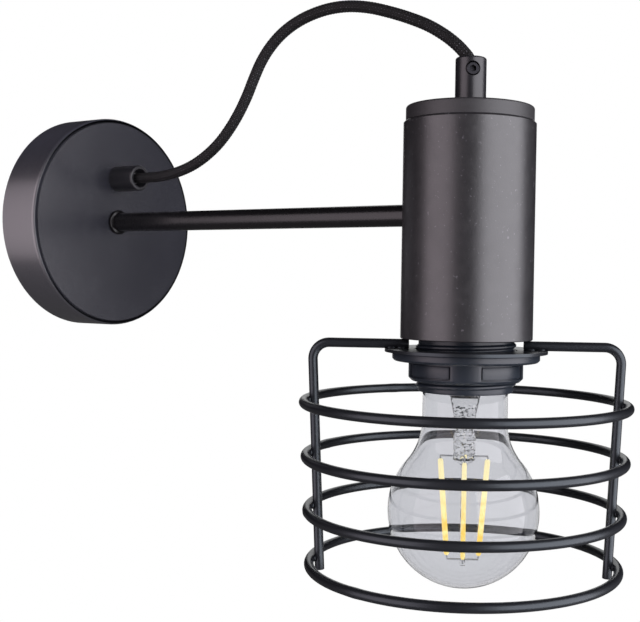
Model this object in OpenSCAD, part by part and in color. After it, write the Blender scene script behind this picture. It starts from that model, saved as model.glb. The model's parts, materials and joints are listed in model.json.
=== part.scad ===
// Cage wall light: a round wall canopy, a straight arm, a tubular housing with an E27 lamp
// holder, a wire cage clamped by the holder's shade ring, a filament bulb and a fabric cord
// that loops over the arm. Millimetres. The wall is the plane y = 0, the lamp stands out
// along -Y, +Z is up, and the origin is the middle of the bracket's wall face.

/* [Canopy and bracket] */
// Outside diameter of the round canopy
canopy_d = 100; // [90:1:130]
// How far the canopy stands off the wall
canopy_depth = 22; // [20:1:32]
// Sheet thickness of the canopy
canopy_wall = 1.5; // [1:0.1:2]
// Rounding of the canopy's front edge
canopy_edge_r = 1.8; // [1.6:0.1:3]
// Width of the bracket strip
bracket_w = 18; // [16:1:24]
// Sheet thickness of the bracket
bracket_t = 1.5; // [1.2:0.1:2]
// Gap between the bracket's lugs and the canopy's rim
bracket_gap = 0.9; // [0.6:0.1:1.5]
// Length of the bracket's two bent lugs
lug_len = 13; // [11:0.5:15]
// Distance between the two slots for the wall screws
slot_spacing = 60; // [56:1:64]
// Width of a wall screw slot
slot_w = 4.5; // [4:0.1:5.5]
// End-to-end length of a wall screw slot
slot_len = 10; // [8:0.5:12]
// Hole in the bracket for the supply cable
cable_hole_d = 10.5; // [9:0.5:12]
// Thread diameter of the two screws in the canopy's rim
rim_screw_d = 4; // [3:0.5:4]

/* [Terminals] */
// Size of the three-way terminal block, along X, Y and Z
block_size = [30, 12, 12];
// Height of the terminal block's middle, below the arm
block_drop = 15; // [15:0.5:16]
// Diameter of the block's wire holes
block_bore = 3.2; // [3:0.1:3.6]
// Diameter of an insulated core
core_d = 2.2; // [1.8:0.1:2.4]

/* [Arm] */
// Distance from the canopy's face to the axis of the lamp
arm_reach = 195; // [150:5:260]
// Outside diameter of the arm tube
arm_d = 9; // [8:0.5:10]
// Bore of the arm tube, in which the studs are fixed
arm_bore = 6; // [5:0.5:6]
// Diameter of the collar at the canopy's face
collar_d = 11.8; // [11:0.2:14]
// Thickness of the collar
collar_t = 1.6; // [1.2:0.1:2.5]
// Depth of each stud in the arm tube
stud_hold = 14; // [10:1:20]

/* [Housing] */
// Outside diameter of the housing tube
housing_d = 52; // [50:1:60]
// Wall of the housing tube
housing_wall = 1.5; // [1.2:0.1:2]
// Length of the housing tube
housing_len = 85; // [80:1:110]
// Height of the housing tube's top edge above the arm's axis
housing_top = 36; // [32:1:44]
// Chamfer round the tube's top edge
housing_chamfer = 0.85; // [0.5:0.05:1]
// Height of the cap that shows above the tube
cap_t = 5.6; // [4:0.2:8]
// Depth of the cap's plug inside the tube
cap_plug = 4; // [3:0.5:5]

/* [Cord and grips] */
// Diameter of the fabric-covered cord
cord_d = 5; // [4.6:0.1:5.2]
// Outside diameter of a cord grip
grip_d = 12.2; // [12:0.1:14]
// Length of the cord grip on top of the housing
grip_len = 19.3; // [18:0.1:24]
// Length of the cord grip on the canopy
gland_len = 15; // [15:0.1:20]
// Height of the canopy's cord grip above the arm
gland_height = 21; // [19:0.5:24]
// Depth of a grip's clamping screw below its mouth
grip_screw_drop = 5; // [4.6:0.1:5.6]
// Diameter of a clamping screw
grip_screw_d = 5.6; // [5:0.1:5.8]
// Angle of the top grip's clamping screw round the lamp's axis
grip_screw_angle = 217; // [0:1:359]

/* [Lamp holder] */
// Diameter of the hollow threaded rod
rod_d = 10; // [10:0.1:10]
// Bore of the hollow rod
rod_bore = 7.4; // [6.5:0.1:7.6]
// Depth of the rod in a grip and in the holder's neck
rod_hold = 7; // [6:0.5:7]
// Outside diameter of the holder's threaded skirt
skirt_d = 39.5; // [39:0.1:40]
// Distance from the housing down to the skirt's rim
skirt_drop = 20.6; // [20:0.1:24]
// Inside diameter of the skirt's mouth
mouth_d = 35; // [34.6:0.1:35.4]
// Height of the holder's dome and neck
dome_len = 32; // [30:0.5:34]
// Outside diameter of the shade ring's flange
flange_d = 58; // [54:0.5:60]
// Thickness of the flange
flange_t = 3.4; // [2.5:0.1:4]
// Outside diameter of the shade ring's body
ring_body_d = 45; // [44:0.5:48]
// Height of the shade ring's body below its flange
ring_body_len = 7.8; // [6:0.2:8.2]
// Number of grip panels round the shade ring
panels = 4; // [3:1:6]
// Angle that a grip panel takes round the ring
panel_arc = 60; // [20:1:60]
// Depth of a grip panel
panel_depth = 0.8; // [0.3:0.1:1]
// Turn of the shade ring about the lamp's axis
shade_ring_turn = -106; // [-180:1:180]
// Thread pitch of the shade ring
ring_pitch = 2.5; // [1.5:0.1:3]

/* [Cage] */
// Diameter of the cage wire
wire_d = 3.8; // [3:0.1:4.5]
// Radius of the top ring, at the middle of its wire
ring_r_top = 63.4; // [56:0.2:80]
// Angle at which the cage narrows towards the bottom
cage_lean = 2.6; // [0.5:0.1:4]
// Number of rings, which are four separate pieces
rings = 4; // [4:1:4]
// Distance of the top ring below the housing
ring_drop = 25.2; // [24:0.2:30]
// Distance from ring to ring
ring_step = 21.1; // [18:0.1:24]
// Bend radius of the uprights, at the middle of the wire
bend_r = 6.5; // [5:0.5:10]
// Outside diameter of the plate that carries the cage
plate_d = 64; // [60:1:70]
// Thickness of the plate
plate_t = 1.2; // [1:0.1:2]
// Radius at which the uprights end on the plate
upright_inner_r = 22.5; // [21.5:0.5:24]
// Turn of the cage about the lamp's axis
cage_turn = -61; // [-180:1:180]
// How far the uprights run past the bottom ring
upright_past = 2; // [0.5:0.1:4]
// How far welded wires sink into each other
weld_sink = 0.2; // [0.1:0.05:0.3]

/* [Bulb] */
// Largest diameter of the bulb
bulb_d = 60; // [55:1:60]
// Length of the bulb over all
bulb_len = 107; // [100:1:112]
// Diameter of the glass neck
neck_d = 33.6; // [32:0.2:34]
// Radius of the hollow curve between neck and ball
shoulder_r = 24; // [18:1:30]
// Thickness of the glass
glass_t = 0.8; // [0.6:0.1:1.2]
// Diameter of the screw cap
screw_cap_d = 26.1; // [26:0.05:26.3]
// Diameter of a light filament
filament_d = 2.2; // [1.4:0.1:2.4]
// Length of a light filament
filament_len = 40; // [30:1:42]
// Turn of the filaments about the bulb's axis
filament_turn = -60; // [-180:1:180]

/* [Hidden] */
$fn = 96;
RUNNING = 0.08;      // radial clearance of a part that turns on another
FIT = 0.05;          // radial clearance of a part that is fixed in another
HOLE_GAP = 0.2;      // radial clearance of a screw or rod in a plain hole
WALL_GAP = 0.2;      // how far a screw in the bracket stops short of the wall
BODY_GAP = 0.4;      // clearance between the cage and what it turns under
CORD_GAP = 0.3;      // clearance between the cord and the bore it lies in
CONTACT_GAP = 0.1;   // clearance between the spring tongue and the bulb's contact
PIERCE = 1;          // how far a cutting shape runs past the face it cuts
ARC_STEPS = 8;       // segments of a small rounding

canopy_r = canopy_d / 2;
canopy_bore_r = canopy_r - canopy_wall;
lamp_y = canopy_depth + arm_reach;
housing_r = housing_d / 2;
housing_bore_r = housing_r - housing_wall;
housing_bottom = housing_top - housing_len;
cap_top = housing_top + cap_t;
grip_top = cap_top + grip_len;
cord_r = cord_d / 2;

// Levels of the cage and of what clamps it, from the housing downwards.
wire_z = housing_bottom - BODY_GAP - wire_d / 2;
plate_top = wire_z - wire_d / 2 + weld_sink;
plate_bottom = plate_top - plate_t;
flange_bottom = plate_bottom - flange_t;
ring_bottom = flange_bottom - ring_body_len;
ring_z = [for (i = [0 : rings - 1]) housing_bottom - ring_drop - i * ring_step];
ring_r = [for (i = [0 : rings - 1]) ring_r_top - i * ring_step * tan(cage_lean)];

// Levels of the lamp holder.
skirt_rim = skirt_drop - housing_bottom;
dome_bottom = housing_bottom + 2.4;
dome_top = dome_bottom + dome_len;
dome_r = 19.4;
dome_wall = 2;
neck_r = 8;
neck_len = 11;
skirt_plug_r = dome_r - dome_wall - FIT;
skirt_plug_len = 8;
insert_bottom = dome_bottom + skirt_plug_len;
insert_t = 5.6;
shell_r = screw_cap_d / 2 + 0.45;
shell_wall = 0.6;
shell_len = 22;
shell_seat = 1.2;
mouth_len = 8.4;
spring_t = 0.4;
spring_rise = 1.8;

// Levels of the bulb, from its contact downwards.
bulb_top = insert_bottom + shell_seat - spring_rise - spring_t - CONTACT_GAP;
bulb_bottom = bulb_top - bulb_len;
ball_r = bulb_d / 2;
ball_z = bulb_bottom + ball_r;
contact_t = 1.2;
contact_r = 4.8;
insulator_t = 3.4;
insulator_r = 10.6;
cap_shell_top = bulb_top - contact_t - insulator_t;
cap_shell_len = 21.6;
cap_shell_bottom = cap_shell_top - cap_shell_len;
cap_shell_wall = 0.5;
glass_root_r = screw_cap_d / 2 - cap_shell_wall - FIT;
glass_root_len = 4;
neck_bulb_r = neck_d / 2;
shoulder_dz = sqrt(pow(ball_r + shoulder_r, 2) - pow(neck_bulb_r + shoulder_r, 2));
shoulder_z = ball_z + shoulder_dz;
shoulder_angle = acos((neck_bulb_r + shoulder_r) / (ball_r + shoulder_r));
filament_top = ball_z + 21;
filament_r_top = 9.4;
filament_r_bottom = 6.2;
filaments = 4;
post_r = 1.1;
post_bottom = filament_top - filament_len - 3;
press_r = 4.4;
press_top = filament_top + 8;
press_bottom = filament_top - 1;

// Studs, nuts and washers: thread radius, across flats and thickness.
stud_r = 3;
stud_nut = [10, 5];
stud_washer = [6, 1.2];
rod_nut = [14, 3];
gland_nipple_in = 7;

// The cord's free stretch in the plane of the arm, as [distance from the wall, height].
// It starts in the canopy's grip and ends in the grip on top of the housing.
CORD = [
    [34.5, 21], [42, 21], [50, 21.2], [58, 22.2], [66, 24], [73.5, 26.7], [80.5, 30.4],
    [87, 35], [93, 40.8], [98.5, 47.6], [103.2, 55], [107, 62.3], [111, 69.2], [115.8, 75],
    [121.8, 80], [129, 83.9], [137.5, 86.7], [147.5, 88.3], [158, 88.2], [168.5, 86.4],
    [178.5, 83.4], [188, 79.9], [197, 75.9], [204.5, 71.4], [210, 67.2], [213.7, 63.6],
    [215.9, 60.9], [216.8, 58.4], [217, 56], [217, 54.5]
];

// Cores inside the canopy, from the cord's end to the terminal block, and the earth lead.
CORE_LIVE = [
    [-1.2, -11, 21], [-1.2, -9.6, 21], [-3.2, -8, 19.5], [-6.4, -7, 15], [-8.8, -7, 8],
    [-10, -7.3, 0], [-10, -7.5, -7], [-10, -7.5, -13.5]
];
CORE_NEUTRAL = [
    [1.2, -11, 21], [1.2, -9.6, 21], [3.2, -8, 19.5], [6, -7, 15.5], [7, -7, 10], [5, -7, 3.5],
    [1.4, -7.3, -2.5], [0, -7.5, -8], [0, -7.5, -13.5]
];
LEAD_EARTH = [
    [1.9, -2.65, 13.5], [5, -2.65, 13.5], [9.5, -3.6, 12], [12.2, -5, 7.5], [12.2, -6.4, 1.5],
    [10.8, -7.3, -4], [10, -7.5, -9], [10, -7.5, -13.5]
];

// Directions that no core runs along, for those that lead to +X and to -X.
SIDE_RIGHT = [0.8, 0.1, 0.6];
SIDE_LEFT = [-0.8, 0.1, 0.6];

// ---------------------------------------------------------------- shared shapes

// Points of an arc about a centre, from one angle to another.
function arc(centre, r, from, to, steps) =
    [for (i = [0 : steps]) let (a = from + (to - from) * i / steps)
        [centre[0] + r * cos(a), centre[1] + r * sin(a)]];

// A child drawn along +Z stands out from the wall instead.
module from_wall() {
    rotate([90, 0, 0]) children();
}

// A child drawn about the Z axis moves to the lamp's axis.
module at_lamp() {
    translate([0, -lamp_y, 0]) children();
}

// A tube about the Z axis between two levels.
module pipe(r, bore_r, from, to) {
    translate([0, 0, from]) difference() {
        cylinder(r = r, h = to - from);
        translate([0, 0, -PIERCE]) cylinder(r = bore_r, h = to - from + 2 * PIERCE);
    }
}

module rod(r, from, to) {
    translate([0, 0, from]) cylinder(r = r, h = to - from);
}

// A hexagon nut, given as [across flats, thickness], with its lower face at z = 0.
module hex_nut(size, bore_r) {
    difference() {
        cylinder(r = size[0] / sqrt(3), h = size[1], $fn = 6);
        translate([0, 0, -PIERCE]) cylinder(r = bore_r, h = size[1] + 2 * PIERCE);
    }
}

// A screw along Z: shank below z = 0, domed head above it, with a cross slot.
module pan_screw(r, len, head_r, head_t) {
    slot = [head_r * 1.3, r * 0.4, head_t];
    difference() {
        union() {
            translate([0, 0, -len]) cylinder(r = r, h = len + head_t / 2);
            intersection() {
                cylinder(r = head_r, h = head_t);
                translate([0, 0, head_t - head_r * 1.6]) sphere(r = head_r * 1.6);
            }
        }
        for (turn = [0, 90]) rotate(turn)
            translate([-slot[0] / 2, -slot[1] / 2, head_t * 0.45]) cube(slot);
    }
}

// A headless clamping screw along Z, its outer end at z = 0, with a hexagon socket.
module set_screw(r, len) {
    socket_r = r * 0.5;
    translate([0, 0, -len]) difference() {
        union() {
            cylinder(r = r, h = len - r * 0.2);
            translate([0, 0, len - r * 0.2]) cylinder(r1 = r, r2 = r * 0.8, h = r * 0.2);
        }
        translate([0, 0, len * 0.35]) cylinder(r = socket_r, h = len, $fn = 6);
    }
}

// A straight slot through a plate: long along Y, cut along Z.
module slot_cut(w, len, depth) {
    run = len - w;
    translate([0, -run / 2, -PIERCE]) cylinder(d = w, h = depth + 2 * PIERCE);
    translate([0, run / 2, -PIERCE]) cylinder(d = w, h = depth + 2 * PIERCE);
    translate([-w / 2, -run / 2, -PIERCE]) cube([w, run, depth + 2 * PIERCE]);
}

function unit(v) = v / norm(v);
function tangent(path, i) = unit(path[min(i + 1, len(path) - 1)] - path[max(i - 1, 0)]);

// A round tube swept along a path of points. The side vector is never along the path.
module swept(path, d, sides, side) {
    last = len(path) - 1;
    points = [for (i = [0 : last])
        let (t = tangent(path, i), n = unit(cross(side, t)), b = cross(t, n))
        for (k = [0 : sides - 1])
            path[i] + d / 2 * (cos(360 * k / sides) * n + sin(360 * k / sides) * b)];
    walls = [for (i = [0 : last - 1], k = [0 : sides - 1])
        let (k2 = (k + 1) % sides, a = i * sides, c = (i + 1) * sides)
            [a + k, c + k, c + k2, a + k2]];
    start = [for (k = [0 : sides - 1]) k];
    end = [for (k = [sides - 1 : -1 : 0]) last * sides + k];
    polyhedron(points = points, faces = concat(walls, [start], [end]), convexity = 6);
}

// ---------------------------------------------------------------- canopy and bracket

rim_hole_y = lug_len - 4.5;
lug_z = canopy_bore_r - bracket_gap;
rim_recess = 0.3;
rim_screw_len = canopy_wall + bracket_gap + bracket_t + 2;

// A strip with both ends bent forward, drawn as [height, distance from the wall].
module bracket_outline() {
    inner_r = 1;
    outer_r = inner_r + bracket_t;
    side = concat(
        arc([lug_z - outer_r, outer_r], outer_r, -90, 0, ARC_STEPS),
        [[lug_z, lug_len], [lug_z - bracket_t, lug_len]],
        arc([lug_z - outer_r, outer_r], inner_r, 0, -90, ARC_STEPS)
    );
    polygon(concat(side, [for (i = [len(side) - 1 : -1 : 0]) [-side[i][0], side[i][1]]]));
}

module wall_bracket() {
    color("silver") difference() {
        rotate([90, 0, 90]) translate([0, 0, -bracket_w / 2]) linear_extrude(bracket_w)
            rotate(90) bracket_outline();
        from_wall() {
            translate([0, 0, -PIERCE]) cylinder(d = cable_hole_d, h = bracket_t + 2 * PIERCE);
            for (z = [-1, 1]) translate([0, z * slot_spacing / 2, 0])
                slot_cut(slot_w, slot_len, bracket_t);
            translate([0, earth_height, -PIERCE])
                cylinder(d = earth_hole_d, h = bracket_t + 2 * PIERCE);
            translate([block_screw_x, -block_drop, -PIERCE])
                cylinder(r = block_screw_d / 2 + FIT, h = bracket_t + 2 * PIERCE);
        }
        translate([0, -rim_hole_y, -canopy_r]) cylinder(r = rim_screw_d / 2 + RUNNING, h = canopy_d);
    }
}

// The canopy's section, as [radius, distance from the wall].
module canopy_section() {
    inner_edge_r = canopy_edge_r - canopy_wall * 0.7;
    polygon(concat(
        [[0, canopy_depth]],
        arc([canopy_r - canopy_edge_r, canopy_depth - canopy_edge_r], canopy_edge_r, 90, 0, ARC_STEPS),
        [[canopy_r, 0], [canopy_bore_r, 0]],
        arc([canopy_bore_r - inner_edge_r, canopy_depth - canopy_wall - inner_edge_r],
            inner_edge_r, 0, 90, ARC_STEPS),
        [[0, canopy_depth - canopy_wall]]
    ));
}

module canopy() {
    color("#2c2c31") difference() {
        from_wall() rotate_extrude($fn = 180) canopy_section();
        from_wall() {
            rod(stud_r + HOLE_GAP, 0, canopy_depth + PIERCE);
            translate([0, gland_height, 0]) rod(rod_d / 2 + HOLE_GAP, 0, canopy_depth + PIERCE);
        }
        translate([0, -rim_hole_y, -canopy_r - PIERCE])
            cylinder(r = rim_screw_d / 2 + RUNNING, h = canopy_d + 2 * PIERCE);
    }
}

// A headless screw, flush with the rim, through its hole and the bracket's lug.
module rim_screw() {
    color("#2c2c31") translate([0, -rim_hole_y, canopy_r - rim_recess])
        set_screw(rim_screw_d / 2, rim_screw_len);
}

module rim_screw_top() {
    rim_screw();
}

module rim_screw_bottom() {
    rotate([0, 180, 0]) rim_screw();
}

// ---------------------------------------------------------------- terminals

poles = 3;
pole_pitch = block_size[0] / poles;
pole_x = [for (i = [0 : poles - 1]) (i - (poles - 1) / 2) * pole_pitch];
block_front = -bracket_t - block_size[1];
block_bore_y = -bracket_t - block_size[1] / 2;
tube_r = block_bore / 2 + 0.9;
block_screw_x = pole_pitch / 2;
block_screw_d = 2.5;
block_screw_head_r = 2.2;
block_screw_sink = 4;
earth_height = 13.5;
earth_hole_d = 3.1;
terminal_screw_r = 1.4;
terminal_screw_z = 3;

module at_pole_screws() {
    for (x = pole_x, z = [-terminal_screw_z, terminal_screw_z])
        translate([x, 0, z - block_drop]) children();
}

// Three poles side by side, with a waist between them and wells over the screws.
module terminal_block() {
    color("ivory") difference() {
        translate([-block_size[0] / 2, block_front, -block_drop - block_size[2] / 2]) cube(block_size);
        for (x = [pole_x[0] + pole_pitch / 2, pole_x[1] + pole_pitch / 2])
            translate([x - 0.6, block_front - PIERCE, -block_drop - block_size[2] / 2 - PIERCE])
                cube([1.2, 2.5 + PIERCE, block_size[2] + 2 * PIERCE]);
        translate([block_screw_x, 0, -block_drop]) rotate([90, 0, 0]) {
            cylinder(r = block_screw_d / 2 + HOLE_GAP, h = -block_front);
            translate([0, 0, -block_front - block_screw_sink])
                cylinder(r = block_screw_head_r + FIT, h = block_screw_sink + PIERCE);
        }
        for (x = pole_x) translate([x, block_bore_y, -block_drop - block_size[2] / 2 - PIERCE])
            cylinder(r = tube_r + FIT, h = block_size[2] + 2 * PIERCE);
        at_pole_screws() translate([0, block_bore_y, 0]) rotate([90, 0, 0])
            cylinder(r = terminal_screw_r + 0.4, h = block_size[1]);
    }
}

module terminal_tubes() {
    half = block_size[2] / 2 - 0.6;
    color("gold") difference() {
        for (x = pole_x) translate([x, block_bore_y, -block_drop]) pipe(tube_r, block_bore / 2, -half, half);
        at_pole_screws() translate([0, block_bore_y, 0]) rotate([90, 0, 0])
            cylinder(r = terminal_screw_r + FIT, h = block_size[1]);
    }
}

module terminal_screws() {
    depth = block_bore_y - core_d / 2 - FIT;
    color("silver") at_pole_screws() translate([0, depth, 0]) rotate([90, 0, 0]) difference() {
        cylinder(r = terminal_screw_r, h = depth - block_front - 1);
        translate([-terminal_screw_r * 2, -0.3, depth - block_front - 1.7])
            cube([terminal_screw_r * 4, 0.6, 2]);
    }
}

module earth_screw() {
    under_head = bracket_t + core_d + 0.1;
    color("gold") translate([0, -under_head, earth_height]) from_wall()
        pan_screw(earth_hole_d / 2 - FIT, under_head - WALL_GAP, 3.6, 2);
}

// The screw that holds the block on the bracket, its head sunk between two poles.
module block_screw() {
    head_t = 1.6;
    color("silver") translate([block_screw_x, block_front + block_screw_sink, -block_drop]) from_wall()
        pan_screw(block_screw_d / 2, -block_front - block_screw_sink - WALL_GAP, block_screw_head_r, head_t);
}

module core_live() {
    color("saddlebrown") swept(CORE_LIVE, core_d, 8, SIDE_LEFT);
}

module core_neutral() {
    color("steelblue") swept(CORE_NEUTRAL, core_d, 8, SIDE_RIGHT);
}

module earth_lead() {
    color("yellowgreen") swept(LEAD_EARTH, core_d, 8, SIDE_RIGHT);
}

// ---------------------------------------------------------------- cord grips

// A grip about the Z axis, its foot at z = 0. A hollow rod screws into the foot, the cord
// leaves through the flared mouth, and a clamping screw enters from the side at +X.
module cord_grip(len) {
    mouth_r = cord_r + 2;
    mouth_len = 5;
    bore_r = cord_r + CORD_GAP;
    edge_r = 0.9;
    difference() {
        rotate_extrude() polygon(concat(
            [[0, 0], [grip_d / 2, 0]],
            arc([grip_d / 2 - edge_r, len - edge_r], edge_r, 0, 90, ARC_STEPS),
            [[0, len]]
        ));
        rod(rod_d / 2 + FIT, -PIERCE, rod_hold);
        rod(bore_r, rod_hold - PIERCE, len + PIERCE);
        translate([0, 0, len - mouth_len]) cylinder(r1 = bore_r, r2 = mouth_r, h = mouth_len + FIT);
        translate([0, 0, len - grip_screw_drop]) rotate([0, 90, 0])
            cylinder(r = grip_screw_d / 2 + RUNNING, h = grip_d);
    }
}

module grip_screw(len) {
    recess = 0.5;
    outer = grip_d / 2 - recess;
    translate([0, 0, len - grip_screw_drop]) rotate([0, 90, 0]) translate([0, 0, outer])
        set_screw(grip_screw_d / 2, outer - cord_r - CORD_GAP);
}

module at_canopy_grip() {
    translate([0, -canopy_depth, gland_height]) from_wall() children();
}

module canopy_grip() {
    color("#26262b") at_canopy_grip() cord_grip(gland_len);
}

module canopy_grip_nipple() {
    color("silver") at_canopy_grip() pipe(rod_d / 2, rod_bore / 2, -gland_nipple_in, rod_hold);
}

module canopy_grip_nut() {
    color("silver") at_canopy_grip() translate([0, 0, -canopy_wall - rod_nut[1]])
        hex_nut(rod_nut, rod_d / 2 + FIT);
}

module canopy_grip_screw() {
    color("#1c1c20") at_canopy_grip() grip_screw(gland_len);
}

module at_top_grip() {
    at_lamp() translate([0, 0, cap_top]) rotate(grip_screw_angle) children();
}

module top_grip() {
    color("#26262b") at_top_grip() cord_grip(grip_len);
}

module top_grip_screw() {
    color("#1c1c20") at_top_grip() grip_screw(grip_len);
}

// ---------------------------------------------------------------- cord

cord_path = [for (p = CORD) [0, -p[0], p[1]]];
cord_start = cord_path[0];
cord_end = cord_path[len(CORD) - 1];

module cord() {
    color("#1b1b1d") swept(cord_path, cord_d, 10, [1, 0, 0]);
}

module cord_in_canopy() {
    color("#1b1b1d") translate([0, 0, gland_height]) from_wall() rod(cord_r, 11, -cord_start[1]);
}

module cord_in_housing() {
    color("#1b1b1d") at_lamp() rod(cord_r, dome_top - neck_len - 3, cord_end[2]);
}

// ---------------------------------------------------------------- arm

arm_start = canopy_depth + collar_t;
arm_end = lamp_y - housing_r;

module arm_tube() {
    color("#1f1f22") difference() {
        from_wall() pipe(arm_d / 2, arm_bore / 2 + FIT, arm_start, arm_end + PIERCE);
        at_lamp() rod(housing_r + FIT, -arm_d, arm_d);
    }
}

// A thin flared ring between the canopy's face and the arm.
module arm_collar() {
    round_r = 0.6;
    color("#17171a") from_wall() translate([0, 0, canopy_depth]) rotate_extrude() polygon(concat(
        [[stud_r + FIT, 0], [collar_d / 2, 0]],
        arc([collar_d / 2 - round_r, round_r * 1.4], round_r, 0, 90, ARC_STEPS),
        [[arm_d / 2, collar_t], [stud_r + FIT, collar_t]]
    ));
}

wall_nut_at = canopy_depth - canopy_wall - stud_washer[1] - stud_nut[1];
lamp_washer_at = lamp_y - sqrt(pow(housing_bore_r, 2) - pow(stud_washer[0], 2));

module arm_stud_wall() {
    color("silver") from_wall() rod(stud_r, wall_nut_at - 2, arm_start + stud_hold);
}

module arm_washer_wall() {
    color("silver") from_wall()
        pipe(stud_washer[0], stud_r + HOLE_GAP, wall_nut_at + stud_nut[1], canopy_depth - canopy_wall);
}

module arm_nut_wall() {
    color("silver") from_wall() translate([0, 0, wall_nut_at]) hex_nut(stud_nut, stud_r + FIT);
}

module arm_stud_lamp() {
    color("silver") from_wall()
        rod(stud_r, arm_end - stud_hold, lamp_washer_at + stud_washer[1] + stud_nut[1] + 1.5);
}

module arm_washer_lamp() {
    color("silver") from_wall()
        pipe(stud_washer[0] - FIT, stud_r + HOLE_GAP, lamp_washer_at, lamp_washer_at + stud_washer[1]);
}

module arm_nut_lamp() {
    color("silver") from_wall() translate([0, 0, lamp_washer_at + stud_washer[1]])
        hex_nut(stud_nut, stud_r + FIT);
}

// ---------------------------------------------------------------- housing

module housing() {
    color("#3a3a3e") difference() {
        at_lamp() rotate_extrude($fn = 120) polygon([
            [housing_bore_r, housing_bottom], [housing_r - 0.3, housing_bottom],
            [housing_r, housing_bottom + 0.3], [housing_r, housing_top - housing_chamfer],
            [housing_r - housing_chamfer, housing_top], [housing_bore_r, housing_top]
        ]);
        from_wall() rod(stud_r + HOLE_GAP, arm_end - PIERCE, lamp_y);
    }
}

module housing_cap() {
    r = housing_r - housing_chamfer;
    edge_r = 0.9;
    color("#323237") at_lamp() difference() {
        rotate_extrude($fn = 120) polygon(concat(
            [[0, housing_top - cap_plug], [housing_bore_r - FIT, housing_top - cap_plug],
             [housing_bore_r - FIT, housing_top], [r, housing_top]],
            arc([r - edge_r, cap_top - edge_r], edge_r, 0, 90, ARC_STEPS),
            [[0, cap_top]]
        ));
        rod(rod_d / 2 + HOLE_GAP, housing_top - cap_plug - PIERCE, cap_top + PIERCE);
    }
}

module holder_rod() {
    color("silver") at_lamp() pipe(rod_d / 2, rod_bore / 2, dome_top - neck_len + 2, cap_top + rod_hold);
}

// One nut locks the cap and one the holder.
module rod_nuts() {
    color("silver") at_lamp() for (z = [housing_top - cap_plug - rod_nut[1], dome_top])
        translate([0, 0, z]) hex_nut(rod_nut, rod_d / 2 + FIT);
}

// ---------------------------------------------------------------- lamp holder

// A bell with a threaded neck, open below, that covers the contacts.
module holder_dome() {
    shoulder = dome_top - neck_len - 4;
    color("#202226") at_lamp() rotate_extrude() polygon([
        [rod_d / 2 + FIT, dome_top], [neck_r, dome_top], [neck_r, dome_top - neck_len],
        [dome_r - 3, shoulder], [dome_r, shoulder - 3], [dome_r, dome_bottom],
        [dome_r - dome_wall, dome_bottom], [dome_r - dome_wall, shoulder - 3],
        [dome_r - dome_wall - 3, shoulder - dome_wall], [rod_d / 2 + FIT, dome_top - neck_len]
    ]);
}

// The block that carries the contacts, resting on the skirt's plug.
module holder_insert() {
    color("whitesmoke") at_lamp() difference() {
        rod(skirt_plug_r, insert_bottom, insert_bottom + insert_t);
        for (x = [-9, 9]) translate([x, 0, 0]) rod(1.6, insert_bottom - PIERCE, insert_bottom + insert_t + PIERCE);
        rod(shell_r + shell_wall + FIT, insert_bottom - PIERCE, insert_bottom + shell_seat);
    }
}

// A folded spring tongue that presses on the bulb's contact.
module holder_contact() {
    top = insert_bottom + shell_seat;
    tongue = [9, 5];
    color("gold") at_lamp() translate([-tongue[0] / 2, -tongue[1] / 2, 0]) {
        translate([0, 0, top - spring_t]) cube([tongue[0], tongue[1], spring_t]);
        translate([0, 0, top - spring_rise]) cube([spring_t, tongue[1], spring_rise - spring_t]);
        translate([0, 0, top - spring_rise - spring_t]) cube([tongue[0], tongue[1], spring_t]);
    }
}

module holder_shell() {
    top = insert_bottom + shell_seat;
    color("lightgrey") at_lamp() pipe(shell_r + shell_wall, shell_r, top - shell_len, top);
}

// The sleeve round the bulb's cap: a plug in the dome, a thread and a wide mouth.
module holder_skirt() {
    r = skirt_d / 2;
    bore = shell_r + shell_wall + RUNNING;
    color("#22252a") at_lamp() rotate_extrude($fn = 120) polygon([
        [bore, insert_bottom], [skirt_plug_r, insert_bottom], [skirt_plug_r, dome_bottom],
        [r, dome_bottom], [r, -skirt_rim + 0.6], [r - 0.6, -skirt_rim], [mouth_d / 2, -skirt_rim],
        [mouth_d / 2, -skirt_rim + mouth_len - 1.5], [bore, -skirt_rim + mouth_len]
    ]);
}

// A flange over a short barrel with sunk grip panels, threaded on the skirt.
module shade_ring() {
    r = ring_body_d / 2;
    bore = skirt_d / 2 + RUNNING;
    chamfer = 1.4;
    panel_z = [ring_bottom + chamfer + 0.4, flange_bottom - 0.9];
    color("#24282e") at_lamp() difference() {
        rotate_extrude($fn = 120) polygon([
            [bore, plate_bottom], [flange_d / 2 - 0.4, plate_bottom],
            [flange_d / 2, plate_bottom - 0.4], [flange_d / 2, flange_bottom + 0.8],
            [flange_d / 2 - 0.8, flange_bottom], [r, flange_bottom], [r, ring_bottom + chamfer],
            [r - chamfer, ring_bottom], [bore, ring_bottom]
        ]);
        for (i = [0 : panels - 1]) rotate(shade_ring_turn - panel_arc / 2 + 360 / panels * i)
            rotate_extrude(angle = panel_arc) translate([r - panel_depth, panel_z[0]])
                square([panel_depth + PIERCE, panel_z[1] - panel_z[0]]);
    }
}

// ---------------------------------------------------------------- cage

upright_top_r = ring_r[0] - wire_d + weld_sink;
upright_len = (wire_z - bend_r - ring_z[rings - 1] + wire_d / 2 + upright_past) / cos(cage_lean);
// Radius at which the bend starts, so that the upright touches every ring.
bend_at = upright_top_r + (wire_z - bend_r - ring_z[0]) * tan(cage_lean) - bend_r;

module cage_plate() {
    color("#1d1d20") at_lamp() pipe(plate_d / 2, skirt_d / 2 + BODY_GAP, plate_bottom, plate_top);
}

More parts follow.
